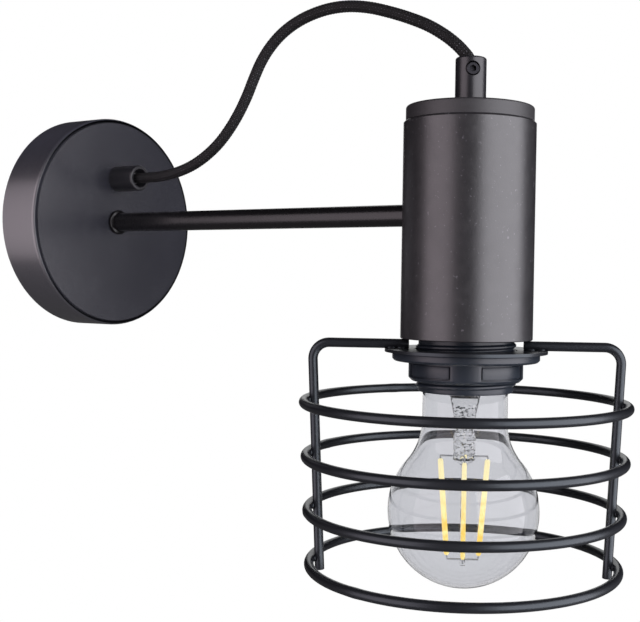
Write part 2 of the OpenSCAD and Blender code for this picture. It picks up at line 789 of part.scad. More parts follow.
// A wire along +X over the plate, bent down and leaning with the rings. The straight
// lengths run a little into the bend, where they are a hair thinner than it.
module upright() {
    r = wire_d / 2;
    leg_r = r - 0.01;
    lap = 0.3;
    translate([upright_inner_r, 0, wire_z]) rotate([0, 90, 0])
        cylinder(r = leg_r, h = bend_at - upright_inner_r + lap);
    translate([bend_at, 0, wire_z - bend_r]) rotate([90, 0, 0]) rotate(-cage_lean) {
        rotate_extrude(angle = 90 + cage_lean) translate([bend_r, 0]) circle(r = r);
        translate([bend_r, lap, 0]) rotate([90, 0, 0]) cylinder(r = leg_r, h = upright_len + lap);
    }
}

module cage_upright_front() {
    color("#1d1d20") at_lamp() rotate(cage_turn) upright();
}

module cage_upright_back() {
    color("#1d1d20") at_lamp() rotate(cage_turn + 180) upright();
}

module cage_ring(i) {
    color("#1d1d20") at_lamp() translate([0, 0, ring_z[i]]) rotate_extrude($fn = 120)
        translate([ring_r[i], 0]) circle(d = wire_d, $fn = 32);
}

// ---------------------------------------------------------------- bulb

module bulb_contact() {
    color("silver") at_lamp() rotate_extrude() polygon([
        [0, bulb_top - contact_t], [contact_r, bulb_top - contact_t],
        [contact_r, bulb_top - contact_t * 0.6], [contact_r * 0.7, bulb_top], [0, bulb_top]
    ]);
}

module bulb_insulator() {
    top = bulb_top - contact_t;
    color("#101014") at_lamp() rotate_extrude() polygon([
        [0, cap_shell_top], [insulator_r, cap_shell_top], [contact_r + 1.2, top], [0, top]
    ]);
}

// A thin cup, closed at the top under the insulator.
module bulb_cap() {
    r = screw_cap_d / 2;
    color("silver") at_lamp() rotate_extrude() polygon([
        [0, cap_shell_top - cap_shell_wall], [0, cap_shell_top], [insulator_r, cap_shell_top],
        [r, cap_shell_top - 2], [r, cap_shell_bottom], [r - cap_shell_wall, cap_shell_bottom],
        [r - cap_shell_wall, cap_shell_top - 2.2], [insulator_r - 0.2, cap_shell_top - cap_shell_wall]
    ]);
}

// The glass outline from its root in the cap to the bottom, drawn inwards by an offset.
function glass_outline(inset) = concat(
    [[glass_root_r - inset, cap_shell_bottom + glass_root_len],
     [glass_root_r - inset, cap_shell_bottom - 0.4]],
    arc([glass_root_r - inset, cap_shell_bottom - 3.4 - inset / 2], neck_bulb_r - glass_root_r, 60, 0, 6),
    arc([neck_bulb_r + shoulder_r, shoulder_z], shoulder_r + inset, 180, 180 + shoulder_angle, 16),
    arc([0, ball_z], ball_r - inset, shoulder_angle - 3, -90, 36)
);

module bulb_glass() {
    outer = glass_outline(0);
    inner = glass_outline(glass_t);
    color([0.85, 0.9, 0.95, 0.35]) at_lamp() rotate_extrude($fn = 120)
        polygon(concat(outer, [for (i = [len(inner) - 1 : -1 : 0]) inner[i]]));
}

// A flared glass foot, a narrow waist, the press that holds the leads and a centre post.
module bulb_stem() {
    foot_top = cap_shell_bottom + 2;
    color([0.85, 0.9, 0.95, 0.5]) at_lamp() rotate_extrude() polygon([
        [0, foot_top], [glass_root_r - glass_t - CORD_GAP, foot_top],
        [press_r + 1.5, foot_top - 8], [press_r - 1, press_top + 3], [press_r, press_top],
        [press_r, press_bottom], [post_r, press_bottom - 2.5], [post_r, post_bottom], [0, post_bottom]
    ]);
}

filament_drop = filament_top - filament_len;

module at_filaments() {
    at_lamp() for (i = [0 : filaments - 1]) rotate(filament_turn + i * 360 / filaments) children();
}

// Leaning sticks, closer together at their lower ends.
module bulb_filaments() {
    lean = atan((filament_r_top - filament_r_bottom) / filament_len);
    color("gold") at_filaments() translate([filament_r_top, 0, filament_top])
        rotate([0, 180 + lean, 0]) cylinder(d = filament_d, h = filament_len);
}

// Wires from the press to the tops of the filaments, and from the post to their feet.
module bulb_leads() {
    r = 0.35;
    reach_top = filament_r_top - press_r;
    reach_bottom = filament_r_bottom - post_r;
    color("silver") at_filaments() {
        translate([press_r + FIT, 0, filament_top + r + FIT]) rotate([0, 90, 0])
            cylinder(r = r, h = reach_top, $fn = 16);
        translate([post_r + FIT, 0, filament_drop - r - 0.2]) rotate([0, 90, 0])
            cylinder(r = r, h = reach_bottom, $fn = 16);
    }
}

// ---------------------------------------------------------------- nodes

wall_bracket();
canopy();
rim_screw_top();
rim_screw_bottom();
terminal_block();
terminal_tubes();
terminal_screws();
block_screw();
earth_screw();
core_live();
core_neutral();
earth_lead();
canopy_grip();
canopy_grip_nipple();
canopy_grip_nut();
canopy_grip_screw();
arm_tube();
arm_collar();
arm_stud_wall();
arm_nut_wall();
arm_washer_wall();
arm_stud_lamp();
arm_nut_lamp();
arm_washer_lamp();
housing();
housing_cap();
holder_rod();
rod_nuts();
top_grip();
top_grip_screw();
cord();
cord_in_canopy();
cord_in_housing();
holder_dome();
holder_insert();
holder_contact();
holder_shell();
holder_skirt();
shade_ring();
cage_plate();
cage_upright_front();
cage_upright_back();
cage_ring(0);  // cage_ring_1
cage_ring(1);  // cage_ring_2
cage_ring(2);  // cage_ring_3
cage_ring(3);  // cage_ring_4
bulb_contact();
bulb_insulator();
bulb_cap();
bulb_glass();
bulb_stem();
bulb_filaments();
bulb_leads();
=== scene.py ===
import json
import math
from functools import partial

import bmesh
import bpy
from bpy.props import FloatProperty, FloatVectorProperty, IntProperty, PointerProperty
from mathutils import Matrix, Vector


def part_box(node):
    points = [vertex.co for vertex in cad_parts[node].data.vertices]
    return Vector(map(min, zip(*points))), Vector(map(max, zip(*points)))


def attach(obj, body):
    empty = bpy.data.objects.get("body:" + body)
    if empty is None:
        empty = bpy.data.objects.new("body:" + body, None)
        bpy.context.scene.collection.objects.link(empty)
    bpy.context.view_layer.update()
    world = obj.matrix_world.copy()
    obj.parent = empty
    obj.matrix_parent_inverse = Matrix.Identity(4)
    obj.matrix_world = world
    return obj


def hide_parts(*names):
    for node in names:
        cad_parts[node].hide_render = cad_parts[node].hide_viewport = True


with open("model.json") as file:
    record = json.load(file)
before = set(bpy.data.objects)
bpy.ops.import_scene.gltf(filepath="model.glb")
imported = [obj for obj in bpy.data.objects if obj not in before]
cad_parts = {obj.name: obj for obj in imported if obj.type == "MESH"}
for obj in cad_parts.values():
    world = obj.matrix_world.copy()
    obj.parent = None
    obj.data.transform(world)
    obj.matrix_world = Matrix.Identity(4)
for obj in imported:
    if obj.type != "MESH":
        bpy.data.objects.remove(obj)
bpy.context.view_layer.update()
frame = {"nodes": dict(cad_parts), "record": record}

bl_info = {
    "name": "Cage Wall Light",
    "version": (1, 0, 0),
    "blender": (4, 5, 0),
    "location": "View3D > Sidebar > Cage Light",
    "description": "Dresses the packed cage wall light: cord, coats, cage, holder and bulb",
    "category": "Object",
}

MM = 0.001
HOUSING_R = 0.026
LAMP = Vector((0.0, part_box("housing")[0].y + HOUSING_R, 0.0))
SLOTS = {row["node"]: row["material_slot"] for row in frame["record"]["subparts"]}

# Turns about the lamp's axis, in degrees.
CAGE_TURN = -61.0
SHADE_RING_TURN = -106.0
FILAMENT_TURN = -60.0

# The cage's joints: how deep one wire is pressed into the next, and the radius of an upright's bend.
WELD_SINK = 0.0002
BEND_R = 0.0065

# The camera: its place, its turns in radians, its lens and sensor in millimetres and its sideways shift.
CAMERA_PLACE = (-0.3759, -0.4239, -0.0273)
CAMERA_HEADING = math.radians(-57.4)
CAMERA_PITCH = -0.026
CAMERA_ROLL = 0.016
CAMERA_LENS = 61.28
CAMERA_SENSOR = 36.0
CAMERA_SHIFT = -0.117

# The studio: heights of the floor and of the tent's base, and the bearing that is open behind the lamp.
FLOOR_Z = -0.62
TENT_FOOT = -0.6
TENT_OPENING = math.radians(61)

# The cord's route in the plane of the arm: distance from the wall and height, in millimetres.
ROUTE = (
    (34.5, 21), (42, 21), (50, 21.2), (58, 22.2), (66, 24), (73.5, 26.7), (80.5, 30.4),
    (87, 35), (93, 40.8), (98.5, 47.6), (103.2, 55), (107, 62.3), (111, 69.2), (115.8, 75),
    (121.8, 80), (129, 83.9), (137.5, 86.7), (147.5, 88.3), (158, 88.2), (168.5, 86.4),
    (178.5, 83.4), (188, 79.9), (197, 75.9), (204.5, 71.4), (210, 67.2), (213.7, 63.6),
    (215.9, 60.9), (216.8, 58.4), (217, 56), (217, 54.5),
)
SLEEVE_STEP = 0.00027


# ---------------------------------------------------------------- settings


def length(name, description, default):
    return FloatProperty(name=name, description=description, default=default, unit="LENGTH")


def tint(name, description, *default):
    return FloatVectorProperty(name=name, description=description, default=default, subtype="COLOR")


def power(name, description, default):
    return FloatProperty(name=name, description=description, default=default, subtype="POWER")


class CageLightSizes(bpy.types.PropertyGroup):
    """Sizes of the detailed pieces."""

    cord_d: length("Cord", "Diameter over the braid", 0.005)
    cord_length: length("Cord length", "From grip to grip", 0.2226)
    strands: IntProperty(name="Strands", description="Braid strands that run each way round", default=12)
    lay: length("Lay", "Length in which a strand goes once round", 0.018)
    relief: length("Braid relief", "Height of a strand", 0.00032)
    wire_d: length("Cage wire", "Diameter of the cage wire", 0.0038)
    weld: length("Weld", "Half width of a weld bead", 0.0016)
    ring_pitch: length("Holder thread", "Pitch of the shade ring's thread", 0.0025)
    cap_pitch: length("Cap thread", "Pitch of the bulb's screw cap", 0.003629)
    glass_wall: length("Glass", "Wall of the bulb", 0.0008)


class CageLightColours(bpy.types.PropertyGroup):
    """Base colours of the finishes."""

    canopy: tint("Canopy", "Powder coat of the canopy", 0.019, 0.0198, 0.0275)
    housing: tint("Housing", "Powder coat of the housing", 0.0167, 0.016, 0.018)
    arm: tint("Arm", "Coat of the arm and collar", 0.006, 0.0057, 0.0066)
    cage: tint("Cage", "Coat of the cage", 0.0105, 0.011, 0.0133)
    plastic: tint("Holder", "Moulded holder and shade ring", 0.0145, 0.020, 0.029)
    grip: tint("Grips", "Moulded cord grips", 0.0114, 0.0114, 0.0143)
    braid: tint("Braid", "Cord sleeve", 0.0045, 0.0045, 0.0052)
    # Colour of the painted glints on the cord's sleeve.
    painted_glint: tint("Fleck", "Lit yarns in the sleeve", 0.17, 0.17, 0.195)
    amber: tint("Filament", "Phosphor on the filaments", 0.95, 0.64, 0.12)
    zinc: tint("Zinc", "Plated steel", 0.62, 0.63, 0.65)
    brass: tint("Brass", "Brass parts", 0.72, 0.52, 0.22)


class CageLightStudio(bpy.types.PropertyGroup):
    """Light levels of the studio."""

    front_power: power("Front box", "Power of the wide softbox before the wall", 13.0)
    side_power: power("Side box", "Power of the softbox at the left", 6.5)
    fill: FloatProperty(name="Fill", description="Level of the white room", default=0.3)


def sizes():
    return bpy.context.scene.cage_light_sizes


def colours():
    return bpy.context.scene.cage_light_colours


def studio():
    return bpy.context.scene.cage_light_studio


# ---------------------------------------------------------------- shader expressions


class Wire:
    """A value in a material, which adds, multiplies and compares like a number."""

    def __init__(self, finish, socket):
        self.finish = finish
        self.socket = socket

    def math(self, operation, *values):
        return self.finish.node("ShaderNodeMath", {"operation": operation}, dict(enumerate(values)))

    def smooth(self, low, high):
        """0 below a low value, 1 above a high one, and a smooth step between."""
        return self.finish.node("ShaderNodeMapRange", {"interpolation_type": "SMOOTHSTEP"},
                                {"Value": self, "From Min": low, "From Max": high})

    def __add__(self, other):
        return self.math("ADD", self, other)

    def __sub__(self, other):
        return self.math("SUBTRACT", self, other)

    def __rsub__(self, other):
        return self.math("SUBTRACT", other, self)

    def __mul__(self, other):
        return self.math("MULTIPLY", self, other)

    def __pow__(self, other):
        return self.math("POWER", self, other)

    def __gt__(self, other):
        return self.math("GREATER_THAN", self, other)

    __radd__ = __add__
    __rmul__ = __mul__


class Finish:
    """A material on one Principled shader. Constants go on its sockets, wires into them."""

    made = {}

    def __init__(self, name, **constants):
        self.material = bpy.data.materials.new(name)
        self.material.use_nodes = True
        self.tree = self.material.node_tree
        self.tree.nodes.clear()
        self.out = self.tree.nodes.new("ShaderNodeOutputMaterial")
        self.surface = self.tree.nodes.new("ShaderNodeBsdfPrincipled")
        self.tree.links.new(self.surface.outputs[0], self.out.inputs["Surface"])
        self.feed(**constants)
        self.place = self.node("ShaderNodeTexCoord", out="Object")

    def node(self, kind, settings=None, values=None, out=0):
        """Add a node: its settings first, then the values or wires of its sockets."""
        made = self.tree.nodes.new(kind)
        for key, value in (settings or {}).items():
            setattr(made, key, value)
        for key, value in (values or {}).items():
            self.put(made.inputs[key], value)
        return Wire(self, made.outputs[out])

    def put(self, socket, value):
        if isinstance(value, Wire):
            self.tree.links.new(value.socket, socket)
        elif hasattr(value, "__len__") and len(value) == 3 and socket.type == "RGBA":
            socket.default_value = (*value, 1)
        else:
            socket.default_value = value

    def feed(self, **values):
        """Give the shader's sockets their values or wires."""
        for key, value in values.items():
            self.put(self.surface.inputs[key.replace("_", " ")], value)

    def axis(self, letter):
        """One coordinate of the place, in metres."""
        return self.node("ShaderNodeSeparateXYZ", None, {0: self.place}, letter)

    def stretched(self, scale):
        """The place, scaled along each axis, for a pattern of lines."""
        return self.node("ShaderNodeMapping", None, {"Vector": self.place, "Scale": scale})

    def noise(self, size, detail=2.0, rough=0.5, at=None):
        """Noise whose patches are about this size, in metres."""
        values = {"Vector": at or self.place, "Scale": 1 / size, "Detail": detail, "Roughness": rough}
        return self.node("ShaderNodeTexNoise", {"noise_dimensions": "3D"}, values, "Fac")

    def mix(self, factor, a, b):
        """From one colour to another, on the Mix node's colour sockets."""
        return self.node("ShaderNodeMix", {"data_type": "RGBA"}, {0: factor, 6: a, 7: b}, 2)

    def tones(self, factor, colour, low, high):
        """From a darker to a lighter tone of one colour."""
        return self.mix(factor, shade(colour, low), shade(colour, high))

    def bump(self, height, depth, strength=1.0, over=None):
        """Raise the surface by a height of 0 to 1 times a depth in metres, over another bump."""
        values = {"Height": height, "Distance": depth, "Strength": strength}
        if over:
            values["Normal"] = over
        raised = self.node("ShaderNodeBump", None, values, "Normal")
        self.feed(Normal=raised)
        return raised


def shade(colour, factor):
    return tuple(c * factor for c in colour)


# ---------------------------------------------------------------- finishes

# Sizes of the powder coat's patterns, in metres.
TONE = 0.03
MOTTLE = 0.004
SPECK = 0.0011
PEEL = 0.0007
GRAIN = 0.00025
PEEL_DEPTH = 0.00006


def powder_coat(name, colour, rough, speck=1.0, gloss=1.0, relief=0.55):
    """Satin powder coat: orange peel, a slow change of tone and a few bright specks, at a mean roughness."""
    f = Finish(name, Specular_IOR_Level=gloss)
    tone = f.noise(TONE, 3)
    peel = f.noise(PEEL, 2)
    grain = f.noise(GRAIN, 2)
    mottle = f.noise(MOTTLE, 3, 0.6)
    dust = f.noise(SPECK, 1, 0.4).smooth(0.69, 0.79)
    body = f.tones(tone, colour, 0.82, 1.2)
    f.feed(
        Base_Color=f.mix(dust * speck, body, shade(colour, 5.0)),
        Roughness=tone * 0.06 + mottle * (0.18 * speck) + grain * 0.10 + (rough - 0.08 - 0.09 * speck),
    )
    f.bump(peel * 0.75 + grain * 0.25, PEEL_DEPTH, relief)
    return f.material


def canopy_coat(name, colour):
    """The powder coat over a burnished, drafted side, with painted shade along the turned edge and painted
    light on the top of the side.
    """
    lo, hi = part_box("canopy")
    r = (hi.x - lo.x) / 2
    f = Finish(name, Specular_IOR_Level=1.0, Coat_Roughness=0.42, Coat_IOR=2.1)
    x, y, z = (f.axis(letter) for letter in "XYZ")
    radius = (x * x + z * z) ** 0.5
    side_from, side_at, edge_from, edge_at = (r - step for step in (0.0009, 0.0004, 0.0024, 0.0016))
    side = radius.smooth(side_from, side_at)
    # Painted shade: the turned edge gets a near-black metallic base colour, which draws a dark line round the
    # face.
    edge = radius.smooth(edge_from, edge_at) * (1 - side)
    tone = f.noise(TONE, 3)
    peel = f.noise(PEEL, 2)
    grain = f.noise(GRAIN, 2)
    dust = f.noise(SPECK, 1, 0.4) > 0.78
    # Painted light: the top of the side is painted lighter, as if lit from above.
    painted_top_light = side * z.smooth(r * 0.35, r) * (tone * 0.5 + 0.25)
    body = f.tones(tone, colour, 0.82, 1.2)
    # The coat's bright specks, with painted light on the top of the side.
    lit = f.mix(dust * 0.25 + painted_top_light, body, shade(colour, 4.0))
    f.feed(
        # Painted shade: the turned edge is mixed to a near-black colour.
        Base_Color=f.mix(edge * 0.75, lit, shade(colour, 0.15)),
        Roughness=tone * 0.06 + grain * 0.08 + 0.19,
        Metallic=edge * 0.95,
        Coat_Weight=side * 0.9,
    )
    draft = f.bump((y - lo.y) * side, 0.15)
    f.bump(peel * 0.75 + grain * 0.25, PEEL_DEPTH, 0.28, draft)
    return f.material


def turned_coat(name, colour):
    """The same coat on the turned cap, duller, over fine lathe lines."""
    f = Finish(name, Specular_IOR_Level=0.8)
    tone = f.noise(0.02, 3)
    lines = f.noise(0.0006, 3, 0.7, f.stretched((0.06, 0.06, 1)))
    grain = f.noise(0.0003, 2)
    f.feed(
        Base_Color=f.tones(lines * 0.6, colour, 0.8, 1.8),
        Roughness=tone * 0.08 + lines * 0.12 + 0.42,
    )
    f.bump(lines * 0.6 + grain * 0.4, 0.00005, 0.5)
    return f.material


def wire_coat(name, colour):
    """Thin satin coat on drawn wire, uneven as a dipped or sprayed coat is."""
    f = Finish(name, Specular_IOR_Level=0.6, Specular_Tint=(0.82, 0.93, 1.0))
    tone = f.noise(0.018, 3)
    fine = f.noise(0.0004, 2)
    f.feed(
        Base_Color=f.tones(tone, colour, 0.8, 1.5),
        Roughness=tone * 0.10 + fine * 0.08 + 0.24,
    )
    f.bump(f.noise(0.0012, 2) * 0.7 + fine * 0.3, 0.00005, 0.5)
    return f.material


def moulded(name, colour, rough, gloss=0.5):
    """Injection-moulded plastic with a fine spark-eroded grain."""
    f = Finish(name, Specular_IOR_Level=gloss)
    grain = f.noise(0.00022, 3, 0.6)
    flow = f.noise(0.012, 2)
    f.feed(
        Base_Color=f.tones(flow, colour, 0.85, 1.2),
        Roughness=flow * 0.08 + grain * 0.12 + (rough - 0.1),
    )
    f.bump(grain, 0.00003, 0.5)
    return f.material


def plated(name, colour, rough):
    """Plated or bare metal, with fine level lines and cloudy wear."""
    f = Finish(name, Metallic=1.0)
    lines = f.noise(0.0016, 2, 0.6, f.stretched((1, 1, 12)))
    cloud = f.noise(0.006, 3)
    f.feed(
        Base_Color=f.tones(cloud, colour, 0.78, 1.0),
        Roughness=lines * 0.16 + cloud * 0.10 + (rough - 0.12),
    )
    f.bump(lines, 0.00002, 0.4)
    return f.material


def ceramic(name, colour):
    """White ceramic with a faint grain under a thin glaze."""
    f = Finish(name, Coat_Weight=0.2)
    grain = f.noise(0.0005, 3)
    f.feed(Base_Color=f.tones(grain, colour, 0.9, 1.0), Roughness=grain * 0.2 + 0.35)
    f.bump(grain, 0.00004, 0.5)
    return f.material


def insulation(name, colour, stripe=None):
    """PVC round a core, with slanting stripes of a second colour where there is one."""
    f = Finish(name)
    fine = f.noise(0.0004, 2)
    body = f.tones(f.noise(0.004), colour, 0.85, 1.0)
    if stripe:
        wave = f.node("ShaderNodeTexWave", {"bands_direction": "DIAGONAL"},
                      {"Vector": f.place, "Scale": 120.0, "Distortion": 0.0}, "Fac")
        body = f.mix(wave > 0.5, body, stripe)
    f.feed(Base_Color=body, Roughness=fine * 0.1 + 0.4)
    f.bump(fine, 0.00002, 0.4)
    return f.material


def braided(name):
    """Textile sleeve: yarns along each strand, painted glints on the raised yarns of one lay, and painted
    shade where the strands sink.
    """
    c = colours()
    f = Finish(name, Sheen_Weight=0.03, Sheen_Roughness=0.3, Specular_IOR_Level=0.4)
    across, raised, first = (f.node("ShaderNodeAttribute", {"attribute_name": label}, out="Fac")
                             for label in ("across", "raised", "first"))
    around = f.node("ShaderNodeUVMap", {"uv_map": "sleeve"})
    yarns_a_strand = 4.0
    yarn = across.math("FRACT", across * yarns_a_strand)
    thread = yarn * (1 - yarn) * 4.0
    cells_round_and_a_metre = (24.0, 1300.0, 1.0)
    cells = f.node("ShaderNodeVectorMath", {"operation": "MULTIPLY"}, {0: around, 1: cells_round_and_a_metre})
    spread = f.node("ShaderNodeTexNoise", {"noise_dimensions": "2D"},
                    {"Vector": cells, "Scale": 1.0, "Detail": 2.0, "Roughness": 0.7}, "Fac")
    crown = raised.smooth(0.78, 1.0)
    # Painted glints: the raised crowns of one lay's strands, in patches.
    lit = crown * first * (thread * 0.6 + 0.4) * spread.smooth(0.42, 0.64)
    # Painted shade: the sleeve is painted darker where the strands sink.
    dark = f.mix(raised, shade(c.braid, 0.2), c.braid)
    f.feed(Base_Color=f.mix(lit, dark, c.painted_glint), Roughness=0.62 - crown * 0.24)
    f.bump(thread * raised, 0.00007, 0.8)
    return f.material


def short_braid(name):
    """The same sleeve on the short stretches inside the canopy and the housing."""
    c = colours()
    f = Finish(name, Sheen_Weight=0.3)
    weave = f.node("ShaderNodeTexVoronoi", {"feature": "F1"}, {"Vector": f.place, "Scale": 900.0}, "Distance")
    # Painted light and shade: lighter on the raised yarns and darker in the hollows between them.
    f.feed(Base_Color=f.tones(weave, c.braid, 1.5, 0.4), Roughness=weave * 0.1 + 0.7)
    f.bump(1 - weave, 0.0002, 0.8)
    return f.material


def clear_glass(name, colour, ior, wave, depth, strength=0.5, top=None):
    """Worked glass: clear, with a ripple of a given length and depth that fades out at a height."""
    f = Finish(name, Base_Color=colour, Transmission_Weight=1.0, IOR=ior, Roughness=0.0)
    ripple = f.noise(wave, 1)
    if top is not None:
        ripple = ripple * (1 - f.axis("Z").smooth(top - 0.008, top))
    f.bump(ripple, depth, strength)
    return f.material


def phosphor(name):
    """Yellow phosphor over a strip of chips, streaked with amber, with a painted highlight towards the top
    and a painted glow.
    """
    c = colours()
    yellow = (1.0, 0.87, 0.36)
    pale = (1.0, 0.93, 0.66)
    # Painted glow: the emission brightens the phosphor's own colour.
    f = Finish(name, Specular_IOR_Level=0.4, Emission_Strength=0.85)
    chips = f.node("ShaderNodeTexWave", {"bands_direction": "Z", "wave_profile": "SIN"},
                   {"Vector": f.place, "Scale": 150.0, "Distortion": 0.6, "Detail": 1.0}, "Fac")
    grain = f.noise(0.0005, 3)
    streak = f.noise(0.004, 3, 0.7).smooth(0.35, 0.65)
    # Painted highlight: the strips are painted paler towards their tops.
    pale_from, pale_at = -0.125, -0.098
    high = f.axis("Z").smooth(pale_from, pale_at)
    body = f.mix(streak * (1 - high) + chips * 0.12, yellow, c.amber)
    lit = f.mix(high * 0.5, body, pale)
    f.feed(
        Base_Color=f.mix(grain * 0.3, lit, shade(c.amber, 0.7)),
        Emission_Color=lit,
        Roughness=grain * 0.2 + 0.4,
    )
    f.bump(grain, 0.00005, 0.5)
    return f.material


def finish_for(slot):
    """The material of one of the record's slots, made when it is first asked for."""
    c = colours()
    makers = {
        "canopy_coat": partial(canopy_coat, colour=c.canopy),
        "lamp_coat": partial(powder_coat, colour=c.housing, rough=0.36),
        "arm_coat": partial(powder_coat, colour=c.arm, rough=0.28, speck=0.3, gloss=0.55, relief=0.25),
        "cage_coat": partial(wire_coat, colour=c.cage),
        "grip_plastic": partial(moulded, colour=c.grip, rough=0.34, gloss=0.72),
        "black_steel": partial(plated, colour=(0.05, 0.05, 0.056), rough=0.42),
        "cord_braid": short_braid,
        "holder_plastic": partial(moulded, colour=c.plastic, rough=0.36, gloss=0.6),
        "insert_white": partial(ceramic, colour=(0.80, 0.79, 0.75)),
        "zinc_steel": partial(plated, colour=c.zinc, rough=0.32),
        "brass": partial(plated, colour=c.brass, rough=0.30),
        "copper_spring": partial(plated, colour=(0.70, 0.42, 0.18), rough=0.30),
        "block_plastic": partial(moulded, colour=(0.80, 0.77, 0.68), rough=0.40),
        "core_brown": partial(insulation, colour=(0.16, 0.06, 0.03)),
        "core_blue": partial(insulation, colour=(0.04, 0.16, 0.50)),
        "core_earth": partial(insulation, colour=(0.10, 0.36, 0.04), stripe=(0.75, 0.66, 0.03)),
        "bulb_glass": partial(clear_glass, colour=(0.76, 0.765, 0.79), ior=1.36, wave=0.012, depth=0.00015),
        "stem_glass": partial(clear_glass, colour=(0.985, 0.985, 0.985), ior=1.5, wave=0.0021, depth=0.0012,
                              strength=0.7, top=-0.072),
        "bulb_metal": partial(plated, colour=(0.74, 0.72, 0.68), rough=0.24),
        "cap_glass": partial(moulded, colour=(0.010, 0.010, 0.013), rough=0.20),
        "solder": partial(plated, colour=(0.55, 0.55, 0.54), rough=0.42),
        "filament": phosphor,
    }
    if slot not in Finish.made:
        Finish.made[slot] = makers[slot]("finish_" + slot)
    return Finish.made[slot]


# ---------------------------------------------------------------- modelling helpers


def pick_nothing():
    if bpy.context.object and bpy.context.object.mode != "OBJECT":
        bpy.ops.object.mode_set(mode="OBJECT")
    bpy.ops.object.select_all(action="DESELECT")


def pick(*objs):
    pick_nothing()
    for obj in objs:
        obj.select_set(True)
    bpy.context.view_layer.objects.active = objs[0]


def edit(obj, domain="VERT"):
    """Go into edit mode on a piece, with all of it selected."""
    pick(obj)
    bpy.ops.object.mode_set(mode="EDIT")
    bpy.ops.mesh.select_mode(type=domain)
    bpy.ops.mesh.select_all(action="SELECT")


def done():
    bpy.ops.object.mode_set(mode="OBJECT")


def choose(obj, domain, test):
    """In edit mode, select the faces or corners whose middle and normal pass a test."""
    bpy.ops.mesh.select_mode(type=domain)
    bpy.ops.mesh.select_all(action="DESELECT")
    work = bmesh.from_edit_mesh(obj.data)
    if domain == "FACE":
        hits = [face for face in work.faces if test(face.calc_center_median(), face.normal)]
    else:
        hits = [corner for corner in work.verts if test(corner.co, corner.normal)]
    for hit in hits:
        hit.select_set(True)
    bmesh.update_edit_mesh(obj.data)


def grow(step):
    """Extrude what is selected by a step."""
    bpy.ops.mesh.extrude_region_move(TRANSFORM_OT_translate={"value": step})


def clean(obj):
    """Merge a shape's doubled corners and turn its faces outwards."""
    edit(obj)
    bpy.ops.mesh.remove_doubles(threshold=2e-6)
    bpy.ops.mesh.normals_make_consistent(inside=False)
    done()


def modifier(obj, kind, **settings):
    pick(obj)
    made = obj.modifiers.new(kind.lower(), kind)
    for key, value in settings.items():
        setattr(made, key, value)
    bpy.ops.object.modifier_apply(modifier=made.name)


def soften(obj, width, angle=32):
    """Round the edges that are sharper than an angle in degrees."""
    modifier(obj, "BEVEL", width=width, segments=2, limit_method="ANGLE", angle_limit=math.radians(angle),
             use_clamp_overlap=True, miter_outer="MITER_ARC")


def seat(obj, turn=(0, 0, 0), at=(0, 0, 0)):
    """Turn a piece in degrees and place it, and leave its object at the origin."""
    pick(obj)
    obj.rotation_euler = [math.radians(a) for a in turn]
    obj.location = at
    bpy.ops.object.transform_apply(location=True, rotation=True, scale=True)


def line(points, closed=False):
    """A chain of edges through points, grown from one corner."""
    pick_nothing()
    bpy.ops.mesh.primitive_plane_add(size=0.001)
    obj = bpy.context.object
    edit(obj)
    bpy.ops.mesh.merge(type="CENTER")
    bpy.ops.transform.translate(value=points[0])
    for a, b in zip(points, points[1:]):
        grow(b - a)
    if closed:
        choose(obj, "VERT", lambda p, n: min((p - points[0]).length, (p - points[-1]).length) < 1e-7)
        bpy.ops.mesh.edge_face_add()
    done()
    return obj


def turned(profile, steps, closed=False):
    """Turn a profile of (radius, height) in millimetres about the upright axis."""
    obj = line([Vector((r * MM, 0, z * MM)) for r, z in profile], closed)
    edit(obj)
    bpy.ops.mesh.spin(steps=steps, angle=2 * math.pi, center=(0, 0, 0), axis=(0, 0, 1))
    done()
    clean(obj)
    return obj


def thread(core, crest, pitch, turns, foot, shape, steps):
    """A right-handed ridge on a core, in millimetres, whose ends run out into it.

    The shape's points say how far out they stand, as a share of the ridge, and how high, as a share of
    the pitch.
    """
    profile = [Vector(((core + (crest - core) * x) * MM, 0, (foot + z * pitch) * MM)) for x, z in shape]
    obj = line(profile, True)
    modifier(obj, "SCREW", axis="Z", angle=2 * math.pi * turns, screw_offset=pitch * turns * MM, iterations=1,
             steps=int(steps * turns), render_steps=int(steps * turns), use_merge_vertices=False)
    corners = obj.data.vertices
    n = len(profile)
    last = len(corners) // n - 1
    run_out = steps // 5
    inner = core * MM - 0.0001
    for i, corner in enumerate(corners):
        step = i // n
        keep = min(1.0, step / run_out, (last - step) / run_out)
        radius = math.hypot(corner.co.x, corner.co.y)
        if radius > inner:
            k = (inner + (radius - inner) * keep) / radius
            corner.co.x *= k
            corner.co.y *= k
    edit(obj)
    bpy.ops.mesh.fill_holes(sides=0)
    done()
    clean(obj)
    return obj


def joined(*objs):
    pick(*objs)
    bpy.ops.object.join()
    return bpy.context.object


def finished(obj, name, body, slot, nodes=(), smooth=35, material=None):
    """Name a piece, give it its finish and body, and hide the nodes that it stands for."""
    obj.name = name
    obj.data.name = name
    pick(obj)
    bpy.ops.object.shade_smooth_by_angle(angle=math.radians(smooth))
    obj.data.materials.clear()
    obj.data.materials.append(material or finish_for(slot))
    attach(obj, body)
    if nodes:
        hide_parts(*nodes)


def dress(*nodes, material=None):
    """Give nodes that stay as they are the finish of their slots, or one of their own."""
    for node in nodes:
        obj = frame["nodes"][node]
        obj.data.materials.clear()
        obj.data.materials.append(material or finish_for(SLOTS[node]))
        pick(obj)
        bpy.ops.object.shade_smooth_by_angle(angle=math.radians(30))


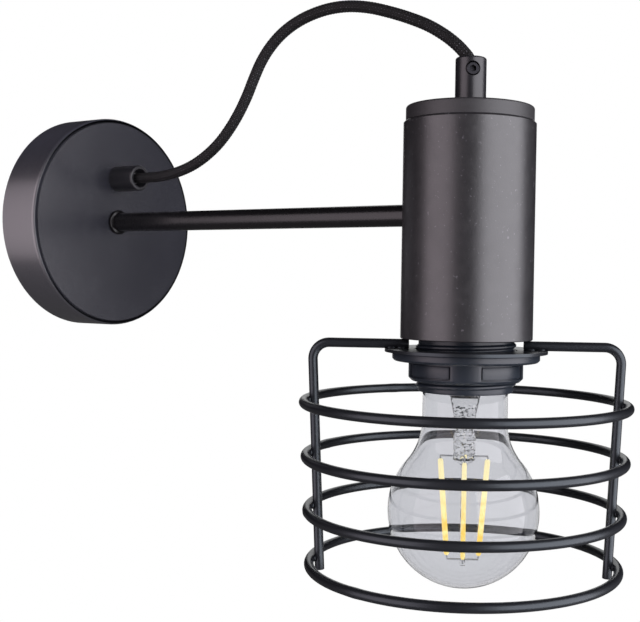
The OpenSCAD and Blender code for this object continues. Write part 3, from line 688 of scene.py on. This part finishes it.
def spline(points, spacing):
    """Points at an even spacing on one smooth curve through a route."""
    steps = 24
    out = []
    for i in range(len(points) - 1):
        p0 = points[max(i - 1, 0)]
        p1, p2 = points[i], points[i + 1]
        p3 = points[min(i + 2, len(points) - 1)]
        for k in range(steps):
            t = k / steps
            out.append(0.5 * ((2 * p1) + (p2 - p0) * t + (2 * p0 - 5 * p1 + 4 * p2 - p3) * t * t
                              + (3 * p1 - p0 - 3 * p2 + p3) * t ** 3))
    out.append(points[-1])
    total = sum((b - a).length for a, b in zip(out, out[1:]))
    count = max(2, round(total / spacing))
    even, i, gone = [out[0]], 0, 0.0
    for k in range(1, count):
        want = total * k / count
        while gone + (out[i + 1] - out[i]).length < want:
            gone += (out[i + 1] - out[i]).length
            i += 1
        even.append(out[i].lerp(out[i + 1], (want - gone) / (out[i + 1] - out[i]).length))
    return even + [out[-1]]


def seen_directly(tree):
    """1 where the camera sees a thing, straight or in metal or glass, and 0 where it only gives light."""
    path = tree.nodes.new("ShaderNodeLightPath")
    seen = path.outputs["Is Camera Ray"]
    for ray in ("Is Transmission Ray", "Is Glossy Ray"):
        either = tree.nodes.new("ShaderNodeMath")
        either.operation = "MAXIMUM"
        tree.links.new(seen, either.inputs[0])
        tree.links.new(path.outputs[ray], either.inputs[1])
        seen = either.outputs[0]
    return seen


# ---------------------------------------------------------------- operators


class CAGE_LIGHT_OT_stage(bpy.types.Operator):
    """Set up the camera, the softboxes, the black tent, the white room and the floor"""

    bl_idname = "cage_light.stage"
    bl_label = "Studio"

    def execute(self, context):
        s = studio()
        self.camera(context.scene)
        cool, rosy = (0.965, 0.94, 1.0), (1.0, 0.87, 0.95)
        self.softbox("box_front", (0.0, -0.89, 0.02), (0, -1, 0), 1.16, 1.1, s.front_power, cool)
        self.softbox("box_side", (-0.80, 0.225, 0.0), (-1, 0, 0), 0.95, 1.25, s.side_power, rosy)
        self.tent()
        self.white_room(context.scene, s.fill)
        self.floor()
        context.scene.view_settings.view_transform = "Standard"
        return {"FINISHED"}

    @staticmethod
    def camera(scene):
        pick_nothing()
        bpy.ops.object.camera_add(location=CAMERA_PLACE)
        camera = bpy.context.object
        camera.name = "camera"
        heading = Matrix.Rotation(CAMERA_HEADING, 3, "Z")
        pitch = Matrix.Rotation(math.pi / 2 + CAMERA_PITCH, 3, "X")
        roll = Matrix.Rotation(CAMERA_ROLL, 3, "Z")
        camera.rotation_mode = "QUATERNION"
        camera.rotation_quaternion = (heading @ pitch @ roll).to_quaternion()
        camera.data.sensor_fit = "HORIZONTAL"
        camera.data.sensor_width = CAMERA_SENSOR
        camera.data.lens = CAMERA_LENS
        camera.data.shift_x = CAMERA_SHIFT
        camera.data.clip_start = 0.02
        scene.camera = camera

    @staticmethod
    def softbox(name, at, way, wide, tall, watts, colour):
        """A lamp with its face turned back along a direction, not seen through the bulb's glass."""
        pick_nothing()
        bpy.ops.object.light_add(type="AREA", location=at)
        lamp = bpy.context.object
        lamp.name = name
        lamp.data.shape = "RECTANGLE"
        lamp.data.size = wide
        lamp.data.size_y = tall
        lamp.data.energy = watts
        lamp.data.color = colour
        lamp.visible_transmission = False
        lamp.rotation_mode = "QUATERNION"
        lamp.rotation_quaternion = Vector(way).to_track_quat("Z", "Y")

    @staticmethod
    def tent():
        """Black cloth round a grey base, open behind the lamp, which only reflections see."""
        tall = 2.0
        pick_nothing()
        bpy.ops.mesh.primitive_cylinder_add(vertices=64, radius=1.7, depth=tall,
                                            location=(0, -0.1, TENT_FOOT + tall / 2))
        tent = bpy.context.object
        tent.name = "tent"
        behind = Vector((math.sin(TENT_OPENING), math.cos(TENT_OPENING), 0))

        def opening(p, n):
            return abs(n.z) < 0.5 and Vector((p.x, p.y, 0)).angle(behind) < math.radians(15)

        edit(tent)
        choose(tent, "FACE", opening)
        bpy.ops.mesh.delete(type="FACE")
        done()
        cloth = Finish("black_cloth", Specular_IOR_Level=0.0, Roughness=1.0)
        above_base = cloth.axis("Z") > TENT_FOOT + 0.01
        black = cloth.mix(cloth.noise(0.02), (0.004, 0.004, 0.004), (0.008, 0.008, 0.008))
        cloth.feed(Base_Color=cloth.mix(above_base, (0.16, 0.16, 0.16), black))
        tent.data.materials.append(cloth.material)
        for ray in ("camera", "diffuse", "transmission", "shadow"):
            setattr(tent, "visible_" + ray, False)

    @staticmethod
    def white_room(scene, fill):
        """White where it is seen, and only a fill for the light that it gives."""
        world = bpy.data.worlds.new("white_room")
        scene.world = world
        world.use_nodes = True
        tree = world.node_tree
        background = tree.nodes["Background"]
        level = tree.nodes.new("ShaderNodeMapRange")
        level.inputs["To Min"].default_value = fill
        level.inputs["To Max"].default_value = 1.0
        tree.links.new(seen_directly(tree), level.inputs["Value"])
        tree.links.new(level.outputs[0], background.inputs["Strength"])
        background.inputs["Color"].default_value = (1, 1, 1, 1)

    @staticmethod
    def floor():
        """A matt disc that takes the shadow, with a glow where it is seen that makes it pale."""
        pick_nothing()
        bpy.ops.mesh.primitive_circle_add(vertices=96, radius=1.1, fill_type="NGON",
                                          location=(0, -0.1, FLOOR_Z))
        floor = bpy.context.object
        floor.name = "floor"
        pale = bpy.data.materials.new("pale_floor")
        pale.use_nodes = True
        tree = pale.node_tree
        tree.nodes.clear()
        out = tree.nodes.new("ShaderNodeOutputMaterial")
        both = tree.nodes.new("ShaderNodeAddShader")
        matt = tree.nodes.new("ShaderNodeBsdfDiffuse")
        matt.inputs["Color"].default_value = (0.15, 0.15, 0.15, 1)
        glow = tree.nodes.new("ShaderNodeEmission")
        level = tree.nodes.new("ShaderNodeMath")
        level.operation = "MULTIPLY"
        level.inputs[1].default_value = 0.97
        tree.links.new(seen_directly(tree), level.inputs[0])
        tree.links.new(level.outputs[0], glow.inputs["Strength"])
        tree.links.new(matt.outputs[0], both.inputs[0])
        tree.links.new(glow.outputs[0], both.inputs[1])
        tree.links.new(both.outputs[0], out.inputs["Surface"])
        floor.data.materials.append(pale)


class CAGE_LIGHT_OT_cord(bpy.types.Operator):
    """Braid the textile cord along its route over the arm"""

    bl_idname = "cage_light.cord"
    bl_label = "Cord"

    def execute(self, context):
        s = sizes()
        path = spline([Vector((0, -y * MM, z * MM)) for y, z in ROUTE], SLEEVE_STEP)
        cord = bpy.data.objects.new("cord_braid", self.sleeve(path, s))
        context.scene.collection.objects.link(cord)
        finished(cord, "cord_braid", "lamp", "cord_braid", ("cord",), 60, braided("finish_sleeve"))
        [tuple(p) for p in path[::12]] + [tuple(path[-1])]
        dress("cord_in_canopy", "cord_in_housing")
        return {"FINISHED"}

    @staticmethod
    def crossing(one, two):
        """How high the strands of each lay stand at a place, from 0 to 1, where they pass over and under."""
        middle = 0.62
        over = 0.38 if (math.floor(one) + math.floor(two)) % 2 == 0 else -0.38
        swell_one = abs(math.sin(math.pi * one))
        swell_two = abs(math.sin(math.pi * two))
        height_one = math.sqrt(swell_one) * (middle + over * swell_two)
        height_two = math.sqrt(swell_two) * (middle - over * swell_one)
        return height_one, height_two

    def sleeve(self, path, s):
        """A tube along a path with two lays of strands, marked for its finish at each corner."""
        sides = s.strands * 6
        half = s.cord_d / 2
        side = Vector((1, 0, 0))
        work = bmesh.new()
        uv_layer = work.loops.layers.uv.new("sleeve")
        rings = []
        marks = {"across": [], "raised": [], "first": []}
        gone = 0.0
        for i, p in enumerate(path):
            ahead = (path[min(i + 1, len(path) - 1)] - path[max(i - 1, 0)]).normalized()
            up = side.cross(ahead).normalized()
            if i:
                gone += (p - path[i - 1]).length
            ring = []
            for k in range(sides):
                a = 2 * math.pi * k / sides
                strands_round = k / sides * s.strands + 0.25
                strands_along = gone / s.lay * s.strands
                one, two = strands_round + strands_along, strands_round - strands_along
                height_one, height_two = self.crossing(one, two)
                top = max(height_one, height_two)
                radius = half - s.relief * (1 - top)
                ring.append(work.verts.new(p + (side * math.cos(a) + up * math.sin(a)) * radius))
                marks["across"].append(one if height_one >= height_two else two + 0.5)
                marks["raised"].append(top)
                marks["first"].append(float(height_one >= height_two))
            rings.append((ring, gone))
        for (lower, s0), (upper, s1) in zip(rings, rings[1:]):
            for k in range(sides):
                j = (k + 1) % sides
                face = work.faces.new((lower[k], lower[j], upper[j], upper[k]))
                places = ((k, s0), (k + 1, s0), (k + 1, s1), (k, s1))
                for loop, (column, along) in zip(face.loops, places):
                    loop[uv_layer].uv = (column / sides, along)
        work.faces.new(rings[0][0][::-1])
        work.faces.new(rings[-1][0])
        bmesh.ops.recalc_face_normals(work, faces=work.faces)
        mesh = bpy.data.meshes.new("cord_braid")
        work.to_mesh(mesh)
        work.free()
        for label, values in marks.items():
            mesh.attributes.new(label, "FLOAT", "POINT").data.foreach_set("value", values)
        return mesh


class CAGE_LIGHT_OT_canopy(bpy.types.Operator):
    """Coat the canopy and finish the bracket and terminals behind it"""

    bl_idname = "cage_light.canopy"
    bl_label = "Canopy"

    def execute(self, context):
        dress("canopy", "wall_bracket", "rim_screw_top", "rim_screw_bottom")
        dress("terminal_block", "terminal_tubes", "terminal_screws", "block_screw")
        dress("earth_screw", "core_live", "core_neutral", "earth_lead")
        dress("canopy_grip_nipple", "canopy_grip_nut")
        return {"FINISHED"}


class CAGE_LIGHT_OT_arm(bpy.types.Operator):
    """Coat the arm and its collar, and finish the studs, nuts and washers"""

    bl_idname = "cage_light.arm"
    bl_label = "Arm"

    def execute(self, context):
        dark = shade(colours().arm, 0.6)
        coat = powder_coat("finish_collar", dark, rough=0.2, speck=0.3, gloss=0.35, relief=0.25)
        dress("arm_collar", material=coat)
        dress("arm_tube", "arm_stud_wall", "arm_nut_wall", "arm_washer_wall")
        dress("arm_stud_lamp", "arm_nut_lamp", "arm_washer_lamp")
        return {"FINISHED"}


class CAGE_LIGHT_OT_grips(bpy.types.Operator):
    """Finish the two cord grips and their clamping screws"""

    bl_idname = "cage_light.grips"
    bl_label = "Cord grips"

    def execute(self, context):
        dress("canopy_grip", "top_grip", "canopy_grip_screw", "top_grip_screw")
        return {"FINISHED"}


class CAGE_LIGHT_OT_housing(bpy.types.Operator):
    """Coat the housing and its cap, and finish the hollow rod and nuts"""

    bl_idname = "cage_light.housing"
    bl_label = "Housing"

    def execute(self, context):
        dress("housing", "holder_rod", "rod_nuts")
        dress("housing_cap", material=turned_coat("finish_cap", colours().housing))
        return {"FINISHED"}


class CAGE_LIGHT_OT_holder(bpy.types.Operator):
    """Mould the threaded skirt and the shade ring, and finish the rest of the holder"""

    bl_idname = "cage_light.holder"
    bl_label = "Lamp holder"

    def execute(self, context):
        lo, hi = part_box("holder_skirt")
        foot, top = lo.z / MM, hi.z / MM
        crest = (hi.x - lo.x) / 2 / MM
        core = crest - 1.0
        rim = crest - 0.1
        plug = 17.35
        mouth = 17.5
        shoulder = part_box("holder_dome")[0].z / MM
        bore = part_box("holder_shell")[1].x / MM + 0.08
        skirt = turned([
            (bore, top), (plug, top), (plug, shoulder), (crest - 0.2, shoulder), (rim, shoulder - 0.15),
            (rim, shoulder - 1.6), (core, shoulder - 2.0), (core, foot + 0.9), (core - 0.25, foot + 0.15),
            (core - 0.6, foot), (mouth + 0.3, foot), (mouth, foot + 0.3), (mouth, foot + 6.9),
            (bore, foot + 8.4),
        ], 144, True)
        tooth = ((-0.2, 0.0), (0.25, 0.08), (1.0, 0.34), (1.0, 0.56), (0.25, 0.82), (-0.2, 0.9))
        ridge = thread(core, crest, sizes().ring_pitch / MM, 7.0, foot + 0.4, tooth, 72)
        part = joined(skirt, ridge)
        seat(part, at=LAMP)
        finished(part, "holder_thread", "lamp", "holder_plastic", ("holder_skirt",))
        self.shade_ring(crest + 0.05)
        dress("holder_dome", "holder_insert", "holder_contact", "holder_shell")
        return {"FINISHED"}

    @staticmethod
    def shade_ring(bore):
        """A flange over a short barrel, with four sunk grip panels and a groove round each."""
        lo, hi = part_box("shade_ring")
        flange, top, foot = (hi.x - lo.x) / 2 / MM, hi.z / MM, lo.z / MM
        body, flange_foot = 22.5, top - 3.4
        panel_top, panel_foot = flange_foot - 0.6, foot + 1.6
        ring = turned([
            (bore, top - 0.3), (bore + 0.3, top), (flange - 0.4, top), (flange, top - 0.4),
            (flange, flange_foot + 0.8), (flange - 0.8, flange_foot), (body + 0.3, flange_foot),
            (body, flange_foot - 0.3), (body, panel_top), (body, panel_foot), (body, foot + 1.3),
            (body - 1.3, foot), (bore + 0.3, foot), (bore, foot + 0.3),
        ], 120, True)

        def panel(p, n):
            turn = math.remainder(math.atan2(p.y, p.x), math.pi / 2)
            return (math.hypot(p.x, p.y) > (body - 0.2) * MM and abs(turn) < math.radians(30)
                    and panel_foot * MM < p.z < panel_top * MM)

        sunk, groove, raised = -0.0013, 0.00055, 0.0006
        edit(ring)
        choose(ring, "FACE", panel)
        bpy.ops.mesh.extrude_region_shrink_fatten(TRANSFORM_OT_shrink_fatten={"value": sunk})
        bpy.ops.mesh.inset(thickness=groove, depth=0)
        bpy.ops.mesh.extrude_region_shrink_fatten(TRANSFORM_OT_shrink_fatten={"value": raised})
        done()
        soften(ring, 0.00013)
        seat(ring, (0, 0, SHADE_RING_TURN), LAMP)
        finished(ring, "shade_ring_moulded", "shade_ring", "holder_plastic", ("shade_ring",))


class CAGE_LIGHT_OT_cage(bpy.types.Operator):
    """Bend, butt and weld the wires of the cage"""

    bl_idname = "cage_light.cage"
    bl_label = "Cage"

    def execute(self, context):
        r = sizes().wire_d / 2
        rings = []
        for i in range(4):
            lo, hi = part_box("cage_ring_%d" % (i + 1))
            rings.append(((hi.x - lo.x) / 2 - r, (lo.z + hi.z) / 2))
        for i, (ring_r, z) in enumerate(rings):
            self.ring(i, ring_r, z, r)
        for name, turn in (("front", CAGE_TURN), ("back", CAGE_TURN + 180)):
            self.upright(name, turn, rings, r)
        dress("cage_plate")
        return {"FINISHED"}

    @staticmethod
    def ring(i, ring_r, z, r):
        """A ring of wire with a slight swelling where its ends are butted, each a little further round."""
        pick_nothing()
        bpy.ops.mesh.primitive_torus_add(major_radius=ring_r, minor_radius=r, major_segments=180,
                                         minor_segments=24)
        ring = bpy.context.object
        seam = math.radians(CAGE_TURN + 120 + 37 * i)
        edit(ring)
        for half_arc, swell in ((0.04, 0.00004), (0.02, 0.00005)):

            def near(p, n):
                return abs(math.remainder(math.atan2(p.y, p.x) - seam, 2 * math.pi)) < half_arc

            choose(ring, "VERT", near)
            bpy.ops.transform.shrink_fatten(value=swell)
        done()
        seat(ring, at=(0, LAMP.y, z))
        node = "cage_ring_%d" % (i + 1)
        finished(ring, node + "_wire", "cage", "cage_coat", (node,), 50)

    def upright(self, name, turn, rings, r):
        """A wire out over the plate, bent down and leaning in along the rings, with its welds."""
        s = sizes()
        plate_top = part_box("cage_plate")[1].z
        wire_z = plate_top + r - WELD_SINK
        (wide_r, high_z), (narrow_r, low_z) = rings[0], rings[-1]
        lean = math.atan((wide_r - narrow_r) / (high_z - low_z))
        foot_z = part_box("cage_upright_front")[0].z + r * math.sin(lean)
        top_r = wide_r - s.wire_d + WELD_SINK
        bend_z = wire_z - BEND_R
        bend_at = top_r + (bend_z - high_z) * math.tan(lean) - BEND_R
        drop = (bend_z - foot_z) / math.cos(lean)
        inner_r = 0.0225
        out_steps, bend_steps, down_steps = 6, 18, 12
        pick_nothing()
        bpy.ops.mesh.primitive_circle_add(vertices=24, radius=r, fill_type="NOTHING",
                                          location=(inner_r, 0, wire_z), rotation=(0, math.pi / 2, 0))
        wire = bpy.context.object
        bpy.ops.object.transform_apply(location=True, rotation=True, scale=True)
        edit(wire, "EDGE")
        for _ in range(out_steps):
            grow(((bend_at - inner_r) / out_steps, 0, 0))
        bpy.ops.mesh.spin(steps=bend_steps, angle=-math.pi / 2 - lean, center=(bend_at, 0, bend_z),
                          axis=(0, 1, 0))
        for _ in range(down_steps):
            grow((-math.sin(lean) * drop / down_steps, 0, -math.cos(lean) * drop / down_steps))
        bpy.ops.mesh.select_all(action="SELECT")
        bpy.ops.mesh.fill_holes(sides=0)
        done()
        clean(wire)
        soften(wire, 0.00022, 60)
        on_ring = (s.weld * 0.62, s.weld, s.weld)
        on_plate = (0.0018, 0.0008, 0.0006)
        beads = [self.bead((ring_r - r + 0.00005, 0, z), on_ring) for ring_r, z in rings]
        for side in (-1, 1):
            for x in (0.0252, 0.0292):
                beads.append(self.bead((x, side * r * 0.62, plate_top + 0.0002), on_plate))
        wire = joined(wire, *beads)
        seat(wire, (0, 0, turn), LAMP)
        finished(wire, "cage_upright_%s_wire" % name, "cage", "cage_coat", ("cage_upright_" + name,), 50)

    @staticmethod
    def bead(at, half):
        """A small run of weld, pulled out of round."""
        pick_nothing()
        bpy.ops.mesh.primitive_ico_sphere_add(subdivisions=3, radius=1, location=(0, 0, 0))
        bead = bpy.context.object
        edit(bead)
        bpy.ops.transform.resize(value=half)
        bpy.ops.transform.vertex_random(offset=0.00006, seed=int(abs(at[2]) * 1e5) % 97)
        bpy.ops.mesh.vertices_smooth(factor=0.4, repeat=2)
        bpy.ops.transform.translate(value=at)
        done()
        return bead


class CAGE_LIGHT_OT_bulb(bpy.types.Operator):
    """Blow the bulb, roll its cap, hang its filaments and finish the rest of it"""

    bl_idname = "cage_light.bulb"
    bl_label = "Bulb"

    def execute(self, context):
        self.glass()
        self.cap()
        self.filaments()
        dress("bulb_contact", "bulb_insulator", "bulb_stem", "bulb_leads")
        return {"FINISHED"}

    @staticmethod
    def glass():
        """A ball that runs through a hollow shoulder into the neck and the root in the cap."""
        lo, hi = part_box("bulb_glass")
        ball = (hi.x - lo.x) / 2 / MM
        bottom, top = lo.z / MM, hi.z / MM
        wall = sizes().glass_wall / MM
        neck, shoulder, root = 16.8, 24.0, 12.5
        ball_z = bottom + ball
        rise = math.sqrt((ball + shoulder) ** 2 - (neck + shoulder) ** 2)
        meet = math.degrees(math.acos((neck + shoulder) / (ball + shoulder)))
        cap_foot = top - 4.0

        def arc(cx, cz, r, start, end, steps):
            angles = [math.radians(start + (end - start) * i / steps) for i in range(steps + 1)]
            return [(cx + r * math.cos(a), cz + r * math.sin(a)) for a in angles]

        def outline(inset):
            side = [(root - inset, top), (root - inset, cap_foot - 0.4)]
            side += arc(root - inset, cap_foot - 3.4 - inset / 2, neck - root, 60, 0, 8)
            side += arc(neck + shoulder, ball_z + rise, shoulder + inset, 180, 180 + meet, 20)
            side += arc(0, ball_z, ball - inset, meet - 3, -90, 44)
            side[-1] = (0.0, side[-1][1])
            return side

        globe = turned(outline(0) + outline(wall)[::-1], 144, True)
        seat(globe, at=LAMP)
        finished(globe, "bulb_globe", "bulb", "bulb_glass", ("bulb_glass",), 60)

    @staticmethod
    def cap():
        """A thin drawn cap with a rolled foot and a rounded thread."""
        lo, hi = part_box("bulb_cap")
        top, foot, r = hi.z / MM, lo.z / MM, (hi.x - lo.x) / 2 / MM
        core = r - 1.0
        skirt = r - 0.15
        inside = core - 0.5
        cap = turned([
            (0, top - 0.5), (0, top), (10.0, top), (10.6, top - 0.2), (core - 0.3, top - 2.2),
            (core, top - 2.8), (core, foot + 4.2), (skirt, foot + 3.2), (skirt, foot + 0.4), (r, foot + 0.2),
            (r, foot), (r - 0.5, foot), (r - 0.65, foot + 0.5), (inside, foot + 4.2), (inside, top - 2.8),
            (10.0, top - 0.5),
        ], 128)
        wave = [(-0.2 + 1.2 * math.sin(math.pi * k / 10) ** 0.8, 0.06 + 0.088 * k) for k in range(11)]
        ridge = thread(core, r, sizes().cap_pitch / MM, 3.7, foot + 4.0, wave, 64)
        cap = joined(cap, ridge)
        seat(cap, at=LAMP)
        finished(cap, "bulb_screw_cap", "bulb", "bulb_metal", ("bulb_cap",), 45)

    @staticmethod
    def filaments():
        """Four coated strips that lean in towards their feet, with a pin at each end of each."""
        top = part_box("bulb_filaments")[1].z
        count, long, flat = 4, 40.0, 0.86
        r_top, r_foot = 9.4, 6.2
        lean = math.degrees(math.atan((r_top - r_foot) / long))
        strips, pins = [], []
        for i in range(count):
            strip = turned([
                (0, -0.9), (0.6, -0.85), (0.94, -1.3), (1.08, -2.0), (1.1, -12.0), (1.07, -20.0),
                (1.1, -30.0), (1.08, -38.0), (0.94, -38.7), (0.6, -39.15), (0, -39.1),
            ], 24)
            edit(strip)
            bpy.ops.transform.resize(value=(1.0, flat, 1.0))
            done()
            pin_top = turned([(0, 0.4), (0.26, 0.3), (0.3, 0.0), (0.3, -2.0), (0, -2.0)], 12)
            pin_foot = turned([(0, -38.0), (0.3, -38.0), (0.3, -40.0), (0.26, -40.3), (0, -40.4)], 12)
            for piece, group in ((strip, strips), (joined(pin_top, pin_foot), pins)):
                seat(piece, (0, lean, 0), (r_top * MM, 0, top))
                seat(piece, (0, 0, FILAMENT_TURN + 360 / count * i), LAMP)
                group.append(piece)
        finished(joined(*strips), "bulb_light_strips", "bulb", "filament", ("bulb_filaments",), 60)
        finished(joined(*pins), "bulb_strip_pins", "bulb", "zinc_steel", (), 60)


class CAGE_LIGHT_PT_panel(bpy.types.Panel):
    """The light's pieces, in the 3D view's sidebar"""

    bl_idname = "CAGE_LIGHT_PT_panel"
    bl_label = "Cage Wall Light"
    bl_space_type = "VIEW_3D"
    bl_region_type = "UI"
    bl_category = "Cage Light"

    def draw(self, context):
        for step in STEPS:
            self.layout.operator(step.bl_idname)
        for group in (sizes(), colours(), studio()):
            box = self.layout.box()
            for key in group.bl_rna.properties.keys():
                if key not in ("rna_type", "name"):
                    box.prop(group, key)


STEPS = (
    CAGE_LIGHT_OT_stage,
    CAGE_LIGHT_OT_cord,
    CAGE_LIGHT_OT_canopy,
    CAGE_LIGHT_OT_arm,
    CAGE_LIGHT_OT_grips,
    CAGE_LIGHT_OT_housing,
    CAGE_LIGHT_OT_holder,
    CAGE_LIGHT_OT_cage,
    CAGE_LIGHT_OT_bulb,
)
GROUPS = (
    ("cage_light_sizes", CageLightSizes),
    ("cage_light_colours", CageLightColours),
    ("cage_light_studio", CageLightStudio),
)


def register():
    for name, group in GROUPS:
        bpy.utils.register_class(group)
        setattr(bpy.types.Scene, name, PointerProperty(type=group))
    for step in STEPS:
        bpy.utils.register_class(step)
    bpy.utils.register_class(CAGE_LIGHT_PT_panel)


def unregister():
    bpy.utils.unregister_class(CAGE_LIGHT_PT_panel)
    for step in reversed(STEPS):
        bpy.utils.unregister_class(step)
    for name, group in reversed(GROUPS):
        delattr(bpy.types.Scene, name)
        bpy.utils.unregister_class(group)


def main():
    register()
    for step in STEPS:
        family, name = step.bl_idname.split(".")
        getattr(getattr(bpy.ops, family), name)()
    pick_nothing()
    bpy.context.view_layer.update()


if __name__ == "__main__":
    main()
